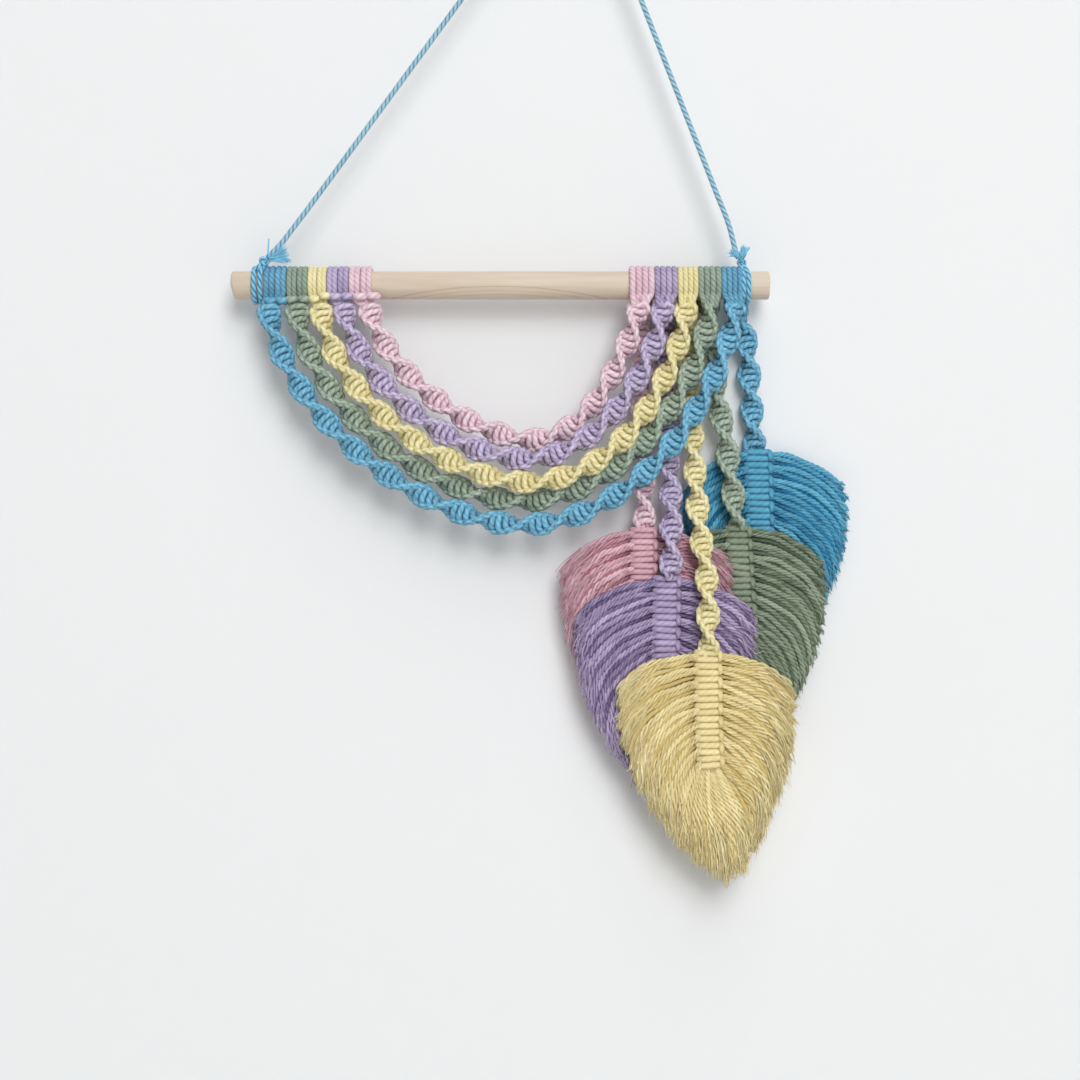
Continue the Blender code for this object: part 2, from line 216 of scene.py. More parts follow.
class Skein:
    """The lengths of cord, ply or fibre that make up one piece: thousands of thin tubes in one mesh."""

    def __init__(self):
        self.points, self.uvs, self.shades, self.faces, self.kinds = [], [], [], [], []
        self.count = 0

    def lay(self, paths, radii, sides=8, shade=0.5, kind=0, start=0.0, painted_side_shade=0.0, behind=0.0):
        """Round lengths along paths (length, place, xyz), in mm, closed at both ends.

        kind is the number of their material, and start the place along the lay where they begin. flank
        darkens their sides with painted shade, where they sink between their neighbours, and behind paints
        their backs lighter than their fronts.
        """
        paths = np.asarray(paths, float)
        if paths.ndim == 2:
            paths = paths[None]
        lengths, rings = paths.shape[:2]
        radii = np.broadcast_to(np.asarray(radii, float), (lengths, rings))
        shade = np.asarray(shade, float)
        shade = np.broadcast_to(shade if shade.ndim == 2 else shade.reshape(-1, 1), (lengths, rings))
        side, other = untwisted_sides(paths)
        turn = 2 * np.pi * np.arange(sides) / sides
        ring = (np.cos(turn)[None, None, :, None] * side[:, :, None]
                + np.sin(turn)[None, None, :, None] * other[:, :, None])
        spots = paths[:, :, None] + radii[:, :, None, None] * ring
        self.points.append(spots.reshape(-1, 3))
        outward = ring[..., 1]  # from -1 in front to 1 behind
        # painted shade: each length's sides are darker than its front and back, and behind paints its back
        # lighter
        tones = shade[:, :, None] + painted_side_shade * (np.abs(outward) - 0.6) + behind * np.maximum(outward, 0)
        self.shades.append(tones.reshape(-1))

        steps = np.linalg.norm(np.diff(paths, axis=1), axis=2)
        along = start + np.concatenate([np.zeros((lengths, 1)), np.cumsum(steps, axis=1)], axis=1)
        index = self.count + np.arange(lengths * rings * sides).reshape(lengths, rings, sides)
        after = np.roll(index, -1, axis=2)
        walls = np.stack([index[:, :-1], after[:, :-1], after[:, 1:], index[:, 1:]], axis=-1)
        u = np.arange(sides + 1) / sides
        wall_u = np.broadcast_to(np.stack([u[:-1], u[1:], u[1:], u[:-1]], axis=-1), walls.shape)
        low, high = along[:, :-1, None], along[:, 1:, None]
        wall_v = np.broadcast_to(np.stack([low, low, high, high], axis=-1), walls.shape)
        self.faces.append((4, walls.reshape(-1, 4)))
        self.uvs.append(np.stack([wall_u.reshape(-1), wall_v.reshape(-1) * MM], axis=1))
        caps = np.concatenate([index[:, 0, ::-1], index[:, -1]])
        cap_v = np.repeat(np.concatenate([along[:, 0], along[:, -1]]), sides)
        self.faces.append((sides, caps))
        self.uvs.append(np.stack([np.tile(u[:-1], lengths * 2), cap_v * MM], axis=1))
        self.kinds += [np.full(walls.size // 4, kind), np.full(len(caps), kind)]
        self.count += lengths * rings * sides

    def piece(self, name, materials, nodes, slot):
        """One smooth mesh of all the lengths, standing for its CAD nodes."""
        mesh = bpy.data.meshes.new(name)
        corners = np.concatenate([f.reshape(-1) for _, f in self.faces]).astype(np.int32)
        totals = np.concatenate([np.full(len(f), size) for size, f in self.faces]).astype(np.int32)
        starts = np.concatenate([[0], np.cumsum(totals)[:-1]]).astype(np.int32)
        mesh.vertices.add(self.count)
        mesh.vertices.foreach_set("co", (np.concatenate(self.points) * MM).astype(np.float32).ravel())
        mesh.loops.add(len(corners))
        mesh.loops.foreach_set("vertex_index", corners)
        mesh.polygons.add(len(starts))
        mesh.polygons.foreach_set("loop_start", starts)
        mesh.polygons.foreach_set("material_index", np.concatenate(self.kinds).astype(np.int32))
        lay = mesh.uv_layers.new(name="lay")
        lay.data.foreach_set("uv", np.concatenate(self.uvs).astype(np.float32).ravel())
        shade = mesh.attributes.new("shade", "FLOAT", "POINT")
        shade.data.foreach_set("value", np.concatenate(self.shades).astype(np.float32))
        mesh.update(calc_edges=True)
        mesh.validate()
        mesh.shade_smooth()
        for material in materials:
            mesh.materials.append(material)
        made = bpy.data.objects.new(name, mesh)
        bpy.context.scene.collection.objects.link(made)
        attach(made, "root")
        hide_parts(*nodes)
        return made


HANGER_ROUTE = (
    (-173.9, -6.9, -227.5), (-167.9, -6.6, -221.4), (-160.6, -6.3, -212.0), (-144.2, -5.7, -190.0),
    (-122.4, -4.9, -160.0), (-100.6, -4.0, -130.0), (-78.8, -3.2, -100.0), (-57.0, -2.3, -70.0),
    (-38.8, -1.6, -45.0), (-22.1, -0.9, -22.0), (-11.9, -0.4, -8.0), (-7.3, -0.2, -1.7),
    (-4.0, 0.0, 0.9), (0.2, 0.0, 1.5), (4.1, 0.0, -0.1), (6.6, -0.1, -3.6),
    (10.8, -0.2, -15.0), (20.5, -0.6, -40.0), (32.2, -1.1, -70.0), (43.8, -1.6, -100.0),
    (55.4, -2.1, -130.0), (67.1, -2.5, -160.0), (78.7, -3.0, -190.0), (87.0, -3.4, -212.0),
    (88.7, -3.5, -219.0), (90.2, -3.6, -225.5),
)
hanger_line = faired(HANGER_ROUTE, 2.0)
hanger = Skein()
hanger.lay(hanger_line, CORD_ACROSS / 2, sides=12, shade=0.45)
# the lit hanger cotton, and the painted shade in its grooves
hanger_cotton = cotton("taut hanger cotton", "B0D6E8", "3A7C9C")
hanger_cord = hanger.piece("hanger", [hanger_cotton], ["hanger_cord"], "cord_blue")
(hanger_line * MM).tolist()


# ---- The dowel ----
# A length of plain round hardwood, sawn at both ends, sanded, and left without varnish. Its left end was
# sawn a little aslant, and its growth lines arch across the middle of the front.
DOWEL_LENGTH, DOWEL_ACROSS, DOWEL_EDGE = 305.0, 16.0, 1.3
DOWEL_X, DOWEL_Z = -43.2, -243.3
SLANT = 0.22  # how far the lower half of the left end is cut back, for each mm below the middle
SLANT_DOUBLES, SLANT_REACH = 4.575, 4.0  # from the end: where that would have doubled, and where it stops
ARCH_X, ARCH_Z = -1.0, -1.6  # the top of the arch, from the dowel's own middle
ARCH_REACH, ARCH_FALL = 55.0, 5.2  # and how far it falls at that distance to either side
GRAIN_WANDER = 1.2  # how far the grain pushes the growth lines about
GrowthLine = namedtuple("GrowthLine", "below half_width strength")
GROWTH_LINES = (GrowthLine(0.0, 0.38, 1.0), GrowthLine(2.1, 0.5, 0.5), GrowthLine(4.0, 0.6, 0.35))
LINES_FULL_AT = 2.5  # how far in front of the dowel's middle the lines show in full


def bare_wood():
    finish = Finish("bare hardwood")
    place = finish.node("ShaderNodeTexCoord", None, None, output=3)
    centred = finish.node("ShaderNodeMapping", None, {
        "Vector": place, "Location": (-DOWEL_X * MM, 0, -DOWEL_Z * MM)})
    x, y, z = finish.split(centred)

    def streaks(scale, detail):
        """Noise drawn out along the dowel."""
        stretched = finish.node("ShaderNodeMapping", None, {"Vector": centred, "Scale": scale})
        return finish.node("ShaderNodeTexNoise", None, {"Vector": stretched, "Scale": 1.0, "Detail": detail})

    grain = streaks((14, 260, 260), 5.0)
    pores = streaks((5, 900, 900), 3.0)
    bands = streaks((9, 40, 40), 2.0)
    arch = (x - ARCH_X * MM) * (1 / (ARCH_REACH * MM))
    rise = z - ARCH_Z * MM + arch * arch * (ARCH_FALL * MM) + (grain - 0.5) * (GRAIN_WANDER * MM)
    lines = sum((1 - abs(rise + line.below * MM) * (1 / (line.half_width * MM))).held() * line.strength
                for line in GROWTH_LINES)
    lines = lines * (y * (-1 / (LINES_FULL_AT * MM))).held()
    base = finish.blend((grain * 0.9 + bands * 0.5 - 0.2).held(), srgb("BEAC96"), srgb("E3D6C5"))
    pored = finish.blend(((pores - 0.62) * 5.0).held() * 0.4, base, srgb("B89871"))
    lined = finish.blend((lines * 0.55).held(), pored, srgb("A3805C"))
    bump = finish.node("ShaderNodeBump", None, {
        "Strength": 0.25, "Distance": 0.3 * MM, "Height": grain * 0.5 + pores})
    return finish.surface({
        "Base Color": lined, "Roughness": 0.55 + grain * 0.15, "Normal": bump, "Specular IOR Level": 0.3})


def turn_dowel():
    work = bmesh.new()
    half = DOWEL_LENGTH / 2 * MM
    bmesh.ops.create_cone(
        work, cap_ends=True, segments=64, radius1=DOWEL_ACROSS / 2 * MM, radius2=DOWEL_ACROSS / 2 * MM,
        depth=DOWEL_LENGTH * MM, matrix=Matrix.Rotation(math.radians(90), 4, "Y"))
    rims = [e for e in work.edges if abs(e.verts[0].co.x - e.verts[1].co.x) < 1e-6]
    bmesh.ops.bevel(work, geom=rims, offset=DOWEL_EDGE * MM, segments=4, profile=0.5, affect="EDGES",
                    material=-1)
    lengthwise = [e for e in work.edges if abs(e.verts[0].co.x - e.verts[1].co.x) > half / 2]
    bmesh.ops.subdivide_edges(work, edges=lengthwise, cuts=40, use_grid_fill=True)
    for corner in work.verts:
        x, y, z = corner.co
        if x < SLANT_REACH * MM - half and z < 0:
            corner.co.x += -z * SLANT * (1 + (x + half) / (SLANT_DOUBLES * MM))
    bmesh.ops.translate(work, vec=(DOWEL_X * MM, 0, DOWEL_Z * MM), verts=work.verts)
    mesh = bpy.data.meshes.new("dowel_wood")
    work.to_mesh(mesh)
    work.free()
    mesh.shade_smooth()
    mesh.materials.append(bare_wood())
    made = bpy.data.objects.new("dowel_wood", mesh)
    bpy.context.scene.collection.objects.link(made)
    return made


dowel = turn_dowel()
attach(dowel, "root")
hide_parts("dowel")


# ---- The hanger's ties ----
# The hanger goes twice round the dowel near each end and is knotted on top of it in front. The cut ends are
# left to fray into a short brush.
COTTONS = {  # colour: the lit cotton, and the cotton in painted shade in its grooves
    "blue": ("8FD5F4", "004C74"),
    "green": ("C3D2C2", "3F5C43"),
    "yellow": ("FFFDD8", "C7AD42"),
    "lavender": ("E4D8F7", "604C78"),
    "pink": ("FFF3F9", "BA7791"),
}
Tie = namedtuple("Tie", "first_x last_x knot size")  # the two turns, and the knot's middle and size
TIES = {
    "left": Tie(-182.4, -178.9, np.array((-176.3, -6.8, -230.6)), 0.74),
    "right": Tie(94.1, 96.9, np.array((93.4, -4.2, -231.3)), 0.56),
}
TIE_START, TIE_TURNS = 130, 2  # the angle where they leave the knot, in degrees, and their number
CROSS_FROM, CROSS_SHARE = 0.58, 0.2  # the stretch of them, at the back, that crosses to the last turn's x
KNOT_CORD_R, TAIL_CORD_R = 1.35, 1.15  # drawn thinner in the knot, and in the tail that leaves it
Tail = namedtuple("Tail", "side root tip spread count seed stray")  # stray is one ply that stands apart
TAILS = {
    "hanger_tail_left": Tail(
        "left", (-173.9, -7.6, -229.4), (-163.2, -7.2, -226.0), 5.3, 112, 11,
        ((-174.6, -7.6, -228.6), (-174.2, -7.9, -224.0), (-173.9, -7.8, -217.8))),
    "hanger_tail_right": Tail("right", (93.1, -5.0, -227.9), (95.6, -5.2, -221.9), 2.0, 60, 12, None),
    "hanger_tail_right_short": Tail("right", (92.0, -6.0, -227.8), (86.9, -6.6, -224.6), 2.2, 56, 13, None),
}


def round_dowel(x, degrees, reach):
    """A place on the dowel: its angle runs from straight under it, through front and top, to the back."""
    angle = math.radians(degrees)
    return np.array([x, -reach * math.sin(angle), DOWEL_Z - reach * math.cos(angle)])


def tie(side, cord_end):
    """The turns of one tie, and its knot, which is a figure of eight drawn up on the hanger's end."""
    first_x, last_x, knot, size = TIES[side]
    reach = DOWEL_ACROSS / 2 + CORD_ACROSS / 2 + 0.1
    turns = []
    for t in np.linspace(0.02, 0.98, 72):
        crossed = min(max((t - CROSS_FROM) / CROSS_SHARE, 0), 1)
        x = first_x + (last_x - first_x) * crossed**2 * (3 - 2 * crossed)
        turns.append(round_dowel(x, TIE_START + 360 * TIE_TURNS * t, reach))
    wraps = Skein()
    behind_knot = knot + (0, 0.5, 0)
    wraps.lay(faired([behind_knot] + turns + [behind_knot], 1.2), CORD_ACROSS / 2, sides=10, shade=0.5)
    wraps.piece("hanger_turns_" + side, [cord_cotton], ["hanger_wrap_" + side], "cord_blue")
    t = np.linspace(0, 2 * math.pi, 80, endpoint=False)
    loop = np.stack([np.sin(t) + 2 * np.sin(2 * t), -np.sin(3 * t) * 0.9,
                     np.cos(t) - 2 * np.cos(2 * t)], axis=1) * size
    knotted = Skein()
    knotted.lay(knot + np.concatenate([loop, loop[:2]]), KNOT_CORD_R, sides=10, shade=0.45)
    inward = (knot - cord_end) / np.linalg.norm(knot - cord_end)
    collar = cord_end + inward * np.linspace(-0.8, 3.0, 5)[:, None]
    knotted.lay(collar, CORD_ACROSS / 2 + 0.06, sides=12, shade=0.45)
    knotted.piece("hanger_tie_" + side, [cord_cotton], ["hanger_knot_" + side], "cord_blue")


def frayed_tail(name, plan):
    """A cut end that comes out of its knot and whose plies have come apart into a fan of fibres."""
    rng = np.random.default_rng(plan.seed)
    knot, root, tip, count = TIES[plan.side].knot, np.array(plan.root), np.array(plan.tip), plan.count
    run = tip - root
    across = np.cross(run / np.linalg.norm(run), (0.0, 1.0, 0.0))
    t = np.linspace(0, 1, 8)[None, :, None]
    reach = rng.uniform(0.7, 1.05, (count, 1, 1))
    fan = rng.uniform(-1, 1, (count, 1, 1)) * plan.spread
    depth = rng.uniform(-0.9, 0.9, (count, 1, 1)) * np.array([0, 1.0, 0])
    start = rng.normal(0, 0.5, (count, 1, 3))
    curl = rng.normal(0, 0.5, (count, 1, 1)) * np.sin(t * 5 + rng.uniform(0, 6, (count, 1, 1))) * t
    paths = root + start + run * t * reach + across * (fan * t**1.4 + curl) + depth * t
    tail = Skein()
    way_out = faired([knot, knot * 0.4 + root * 0.6, root, root + run * 0.12], 0.8)
    tail.lay(way_out, TAIL_CORD_R, sides=8, shade=0.5)
    radii = np.linspace(0.40, 0.14, 8)[None, :] * rng.uniform(0.7, 1.2, (count, 1))
    # painted shade: the fibres are darker near the knot, where they crowd and shade each other, and lighter
    # towards their tips
    shades = np.linspace(0.55, 1.35, 8)[None, :] + rng.uniform(-0.35, 0.45, (count, 1))
    tail.lay(paths, radii, sides=4, shade=shades)
    if plan.stray:
        tail.lay(faired(plan.stray, 1.0), 0.5, sides=6, shade=0.9)
    tail.piece(name + "_fray", [loose_cotton], [name], "cord_blue")


cord_cotton = cotton("cotton cord blue", *COTTONS["blue"])
loose_cotton = cotton("loose cotton blue", *COTTONS["blue"], laid=0, relief=0.2)
tie("left", hanger_line[0])
tie("right", hanger_line[-1])
for name, plan in TAILS.items():
    frayed_tail(name, plan)


# ---- The knotted work: heads, swags and drops ----
# Each colour is one bundle of four cotton cords: hitched on the left, worked in half knots that all turn the
# same way so that the bundle spirals, taken up over the dowel on the right, and knotted on down behind it.
KNOT_PITCH = 3.75
BAR_R, EDGE_R = 1.86, 1.5  # a working cord is fuller where it crosses the bundle than round its edges
BAR_HALF = 3.3  # how far that crossing reaches to either side
CORE_APART, CORE_R = 1.4, 1.4
LOOSENESS, UNEVENNESS = 0.035, 0.12  # how knots worked by hand differ: a share of their width, and mm along
CrossingPoint = namedtuple("CrossingPoint", "across front along")
HALF_KNOT = tuple(CrossingPoint(*row) for row in (  # half of one working cord's cycle
    (0.0, 1.4, 0.05), (1.6, 1.4, 0.0), (3.0, 1.2, 0.05), (4.1, 0.5, 0.2), (5.0, -0.6, 0.8),
    (5.45, -1.0, 1.9), (5.5, -0.3, 3.1), (5.35, 0.8, 4.3), (4.9, 1.1, 5.5), (4.2, 0.4, 5.9),
    (3.7, -0.6, 5.2), (2.9, -1.2, 4.4), (1.5, -1.4, 3.95),
))
FIRST_SKIPPED = 9  # points of the first half cycle that would lie before the bundle begins
DRAWN_FROM, DRAWN_OVER = 2.5, 4.5  # how far before its end a bundle starts to narrow, and over what length
TUCKED = 5.4  # how far back it would go if it narrowed to nothing
SWAG_Y, SWAG_Z = -8.0, -253.9
Swag = namedtuple("Swag", "left right depth roundness lean low_y first_bulge half_turn change")
SWAGS = {  # its ends' x, its curve, and its spiral: the first flat bulge, a half turn and how that changes
    "blue": Swag(-174.2, 89.6, 125.4, 1.58, 12.6, -8.0, 29.1, 23.52, -0.051),
    "green": Swag(-158.2, 75.2, 111.8, 1.66, 10.8, -4.0, 5.1, 23.13, 0.017),
    "yellow": Swag(-144.8, 61.9, 101.5, 1.63, 14.7, -12.6, 5.8, 23.53, -0.136),
    "lavender": Swag(-131.5, 48.9, 88.5, 1.57, 12.0, -11.4, 3.9, 23.47, -0.124),
    "pink": Swag(-117.6, 35.1, 77.4, 1.42, 15.2, -4.6, 4.5, 21.51, -0.103),
}
Drop = namedtuple("Drop", "first_bulge half_turn places")
DROPS = {  # its spiral, and the places that it hangs through
    "blue": Drop(10.9, 20.0, (
        (88.6, 11.6, -244.8), (97.3, 11.8, -273.7), (99.3, 12.2, -293.6), (102.4, 12.6, -335.3))),
    "green": Drop(7.4, 22.4, (
        (75.2, 11.6, -244.8), (80.8, 6.0, -308.4), (85.4, 4.8, -331.1), (88.2, 4.6, -353.8),
        (91.6, 4.6, -379.1))),
    "yellow": Drop(1.2, 20.8, (
        (62.8, 11.6, -244.8), (65.5, 5.2, -319.7), (66.8, 2.6, -342.4), (69.6, -5.9, -384.0),
        (72.9, -11.3, -409.0), (74.0, -11.3, -451.2))),
    "lavender": Drop(-1.4, 20.0, (
        (50.4, 11.6, -244.8), (51.8, 6.6, -319.7), (53.0, 4.0, -350.0), (53.6, -6.0, -379.0),
        (53.0, -6.4, -407.5))),
    "pink": Drop(4.7, 21.3, (
        (37.0, 11.6, -244.8), (37.7, 7.4, -308.4), (38.0, 6.8, -334.0), (38.3, 5.0, -354.0),
        (38.8, 1.4, -380.2))),
}
Bands = namedtuple("Bands", "left_low left_high right_low right_high")
BANDS = {  # the stretches of dowel that each colour covers
    "blue": Bands(-177.0, -164.0, 81.7, 93.6),
    "green": Bands(-164.0, -152.1, 68.6, 81.7),
    "yellow": Bands(-152.1, -141.3, 57.0, 68.6),
    "lavender": Bands(-141.3, -128.8, 43.9, 57.0),
    "pink": Bands(-128.8, -115.7, 29.7, 43.9),
}
Folds = namedtuple("Folds", "angles reach shift half_width")
FOLDS = {  # a head's two folds: their angles round the dowel and reach from it, shift to the right and width
    "blue": Folds((43, 44), 13.2, 0.8, 1.7),
    "green": Folds((46, 47), 12.8, 0.6, 1.9),
    "yellow": Folds((47, 57), 12.7, 1.6, 1.4),
    "lavender": Folds((54, 55), 12.5, 2.2, 1.7),
    "pink": Folds((54, 56), 12.6, 3.8, 2.3),
}
FoldPoint = namedtuple("FoldPoint", "across turn sunk radius")
FOLD = tuple(FoldPoint(*row) for row in (  # along one fold, in shares of its half width, degrees and mm
    (-1.1, -10, 3.0, 1.7), (-1.1, -5, 1.2, 1.9), (-0.75, 0, 0.1, 2.1), (0, 0.5, -0.1, 2.15),
    (0.75, 0, 0.1, 2.1), (1.1, -5, 1.2, 1.9), (1.1, -10, 3.0, 1.7),
))
FOLD_GAP = 1.55
WOUND_REACH = DOWEL_ACROSS / 2 + 1.55
WOUND_FULLNESS = 0.52  # a wound cord's radius in its share of the band, pressed against its neighbours
HANG_APART, DROP_APART = 1.9, 1.6  # from cord to cord, where the four go into a swag and into a drop


def swag_line(swag):
    """The line that a swag hangs in, from its left end to its right end."""
    angle = np.linspace(0, math.pi, 900)
    sink = np.sin(angle) ** (2 / swag.roundness)
    spread = np.sign(np.cos(angle)) * np.abs(np.cos(angle)) ** 1.1
    x = (swag.left + swag.right) / 2 - (swag.right - swag.left) / 2 * spread + swag.lean * sink**2.2
    return np.stack([x, SWAG_Y + (swag.low_y - SWAG_Y) * sink**1.5, SWAG_Z - swag.depth * sink], axis=1)


class Run:
    """A line that knots are worked along, with its length, and its side and front at each place."""

    def __init__(self, line):
        steps = np.linalg.norm(np.diff(line, axis=0), axis=1)
        self.at = np.concatenate([[0.0], np.cumsum(steps)])
        self.line, self.length = line, self.at[-1]
        tangent = np.gradient(line, self.at, axis=0)
        self.tangent = tangent / np.linalg.norm(tangent, axis=1, keepdims=True)

    def place(self, s, across, front, twist):
        """Where a point lies, across and in front of the line at length s, in a section turned by twist."""
        held = np.clip(s, 0, self.length)
        centre = np.stack([np.interp(held, self.at, self.line[:, k]) for k in range(3)], axis=1)
        tangent = np.stack([np.interp(held, self.at, self.tangent[:, k]) for k in range(3)], axis=1)
        tangent /= np.linalg.norm(tangent, axis=1, keepdims=True)
        centre = centre + tangent * (s - held)[:, None]
        facing = np.array([0.0, -1.0, 0.0]) - tangent * (-tangent[:, 1:2])
        facing /= np.linalg.norm(facing, axis=1, keepdims=True)
        beside = np.cross(facing, tangent)
        c, sn = np.cos(twist)[:, None], np.sin(twist)[:, None]
        wide, proud = c * beside + sn * facing, c * facing - sn * beside
        return centre + across[:, None] * wide + front[:, None] * proud


def spiral_from(first_bulge, half_turn, change=0.0):
    """The turn of the section at a length: flat to the front at the first bulge and once a half turn."""
    def twist(s):
        s = np.asarray(s, float) - first_bulge
        if change == 0:
            turns = s / half_turn
        else:
            turns = (-half_turn + np.sqrt(np.maximum(half_turn**2 + 4 * change * s, 1.0))) / (2 * change)
        return -math.pi * turns
    return twist


def work_half_knots(skein, run, twist_at, rng, begin, finish, drawn_in):
    """Two working cords, half a cycle apart, that cross in front of and behind two core cords.

    The knots start at the length begin and end finish mm past the run. drawn_in is how much narrower they
    get at that end, where they go in behind the cords of the next piece.
    """
    shape = np.array(HALF_KNOT)
    reach = run.length + finish - begin
    knots = int(round(reach / KNOT_PITCH))
    pitch = reach / knots
    radii = np.tile(np.where(np.abs(shape[:, 0]) < BAR_HALF, BAR_R, EDGE_R), knots + 1)
    rows = np.tile(shape, (knots + 1, 1))
    number = np.repeat(np.arange(-1, knots), len(shape))
    for cord in (0, 1):
        turned = np.where((number + cord) % 2 == 0, 1.0, -1.0)
        loose = 1 + rng.normal(0, LOOSENESS, knots + 1)[number + 1]
        s = begin + (number - 0.3) * pitch + rows[:, 2]
        s = s + rng.normal(0, UNEVENNESS, knots + 1)[number + 1]
        tight = 1 - drawn_in * np.clip((s - run.length + DRAWN_FROM) / DRAWN_OVER, 0, 1)
        across, front = rows[:, 0] * turned * loose, rows[:, 1] * turned
        path = run.place(s, across * tight, front * tight, twist_at(s))
        path = path + (1 - tight)[:, None] * (0, TUCKED, 0)
        path = faired(np.column_stack([path, radii])[FIRST_SKIPPED:], 1.2)
        skein.lay(path[:, :3], path[:, 3], sides=8, shade=0.5 + rng.normal(0, 0.05),
                  start=rng.uniform(0, 20), painted_side_shade=0.45)
    s = np.linspace(min(begin, 0), run.length + finish, int(run.length / 4))
    # painted shade: the core cords are drawn dark, so that the hollows between the knots look shaded
    for side in (-1, 1):
        core = run.place(s, np.full_like(s, side * CORE_APART), np.zeros_like(s), twist_at(s))
        skein.lay(core, CORE_R, sides=6, shade=0.1)


def hitch(skein, low, high, swag_x, folds, rng):
    """Two lark's heads side by side: each cord is folded, with its fold across the front of its own ends."""
    width = (high - low) / 4
    for pair in (0, 1):
        tone = 0.5 + rng.normal(0, 0.05)
        for number, lean in ((2 * pair, -1), (2 * pair + 1, 1)):
            x = low + width * (number + 0.5)
            hang = swag_x + (number - 1.5) * HANG_APART
            leg = [np.array([hang, SWAG_Y, SWAG_Z - 6.0]), np.array([hang, SWAG_Y + 0.5, SWAG_Z - 3.0]),
                   np.array([hang * 0.4 + x * 0.6, SWAG_Y + 1.2, SWAG_Z + 1.0])]
            leg += [round_dowel(x - lean * 0.1, angle, WOUND_REACH) for angle in range(58, 402, 18)]
            skein.lay(faired(leg, 1.5), width * WOUND_FULLNESS, sides=8, shade=tone)
        middle = (low + high) / 2 + folds.shift + (pair - 0.5) * 2 * (folds.half_width + FOLD_GAP)
        fold = [round_dowel(middle + p.across * folds.half_width, folds.angles[pair] + p.turn,
                            folds.reach - p.sunk) for p in FOLD]
        fold = faired(np.column_stack([fold, [p.radius for p in FOLD]]), 0.6)
        skein.lay(fold[:, :3], fold[:, 3], sides=12, shade=tone + 0.04, painted_side_shade=0.3)


def turn_over(skein, low, high, swag_x, drop_top, rng):
    """Four cords that come up from the swag, pass over the dowel and go down its back into the drop."""
    width = (high - low) / 4
    for number in range(4):
        x = low + width * (number + 0.5)
        hang = swag_x + (number - 1.5) * HANG_APART
        down = drop_top[0] + (number - 1.5) * DROP_APART
        path = [np.array([hang, SWAG_Y, SWAG_Z - 3.0]),
                np.array([hang * 0.5 + x * 0.5, SWAG_Y - 0.5, SWAG_Z + 1.6])]
        path += [round_dowel(x, angle, WOUND_REACH) for angle in range(56, 262, 17)]
        path += [np.array([x * 0.4 + down * 0.6, drop_top[1] - 0.6, drop_top[2] + 1.5]),
                 np.array([down, drop_top[1], drop_top[2] - 4.0])]
        skein.lay(faired(path, 1.5), width * WOUND_FULLNESS, sides=8, shade=0.5 + rng.normal(0, 0.06))


for number, (colour, swag_plan) in enumerate(SWAGS.items()):
    rng = np.random.default_rng(100 + number)
    band, drop_plan, slot = BANDS[colour], DROPS[colour], "cord_" + colour
    wound_cotton = cotton("wound cotton " + colour, *COTTONS[colour], laid=0.38, lay=8.5)
    knotted_cotton = cotton("knotted cotton " + colour, *COTTONS[colour], laid=0.4)

    head = Skein()
    hitch(head, band.left_low, band.left_high, swag_plan.left, FOLDS[colour], rng)
    head.piece("hitches_" + colour, [wound_cotton], ["head_left_" + colour], slot)

    swag = Skein()
    swag_spiral = spiral_from(swag_plan.first_bulge, swag_plan.half_turn, swag_plan.change)
    work_half_knots(swag, Run(swag_line(swag_plan)), swag_spiral, rng, begin=3.4, finish=3.0, drawn_in=0.62)
    swag.piece("spiral_swag_" + colour, [knotted_cotton], ["swag_" + colour], slot)

    turn = Skein()
    turn_over(turn, band.right_low, band.right_high, swag_plan.right, drop_plan.places[0], rng)
    turn.piece("cords_over_dowel_" + colour, [wound_cotton], ["head_right_" + colour], slot)

    drop = Skein()
    drop_run = Run(faired(drop_plan.places, 1.0))
    drop_spiral = spiral_from(drop_plan.first_bulge, drop_plan.half_turn)
    work_half_knots(drop, drop_run, drop_spiral, rng, begin=0.0, finish=1.6, drawn_in=0.32)
    drop.piece("spiral_drop_" + colour, [knotted_cotton], ["drop_" + colour], slot)


# ---- The leaves ----
# Short strands knotted in rows along the end of each drop, every row with two bars across the spine and a
# loop at its right. The strands' ends are untwisted, combed out and trimmed to a leaf.
COMBED = {  # colour: the lit fibres, and the fibres in painted shade between the strands of a leaf
    "blue": ("73C3E0", "006592"),
    "green": ("A5B29D", "445940"),
    "yellow": ("FFF3C0", "C8B06C"),
    "lavender": ("D1C0E5", "54426D"),
    "pink": ("F0C8D5", "A06273"),
}
LEAF_ROWS = 9
OUTLINE = (  # share of the leaf's length from its top, and of its half width
    (0.0, 0.24), (0.05, 0.52), (0.12, 0.86), (0.19, 0.98), (0.34, 0.97), (0.48, 0.90),
    (0.60, 0.79), (0.74, 0.60), (0.85, 0.41), (0.94, 0.24), (1.0, 0.05),
)
OUTLINE_DOWN, OUTLINE_WIDE = zip(*OUTLINE)
WIDEST = 3  # the outline's row where it is widest
SPINE_FRONT = 2.1  # from the leaf's middle to the middle of the bars in front of it
BAR_FULLNESS = 0.262  # a bar's radius as a share of a row
CENTRE_STRANDS, CENTRE_SPREAD = 11, 0.36
STRAND_LAY = 9.5
LAST_CUT = 0.875  # how far down the leaf its lowest side strands are cut
SETTLES = 9.0  # how far from its knot a strand is still held straight and close to its neighbour
# A wing's strands start outset from the spine's edge. The top one is cut first_cut down the leaf, and a
# larger cut_power brings the others' cuts down sooner. At the top they start at first_slope below level and
# end at last_slope, and these grow by steeper and turned down the wing. Each strand stands proud of the leaf
# where it is rise from its knot.
Wing = namedtuple(
    "Wing", "outset first_cut cut_power first_slope steeper last_slope turned turned_power rise proud")
WINGS = {  # -1 is the left side
    -1: Wing(-0.9, 0.185, 1.4, 13, 40, 58, 46, 2, 2.9, 2.3),
    1: Wing(0.4, 0.145, 1.25, 7, 56, 38, 64, 1.8, 6.8, 1.3),
}


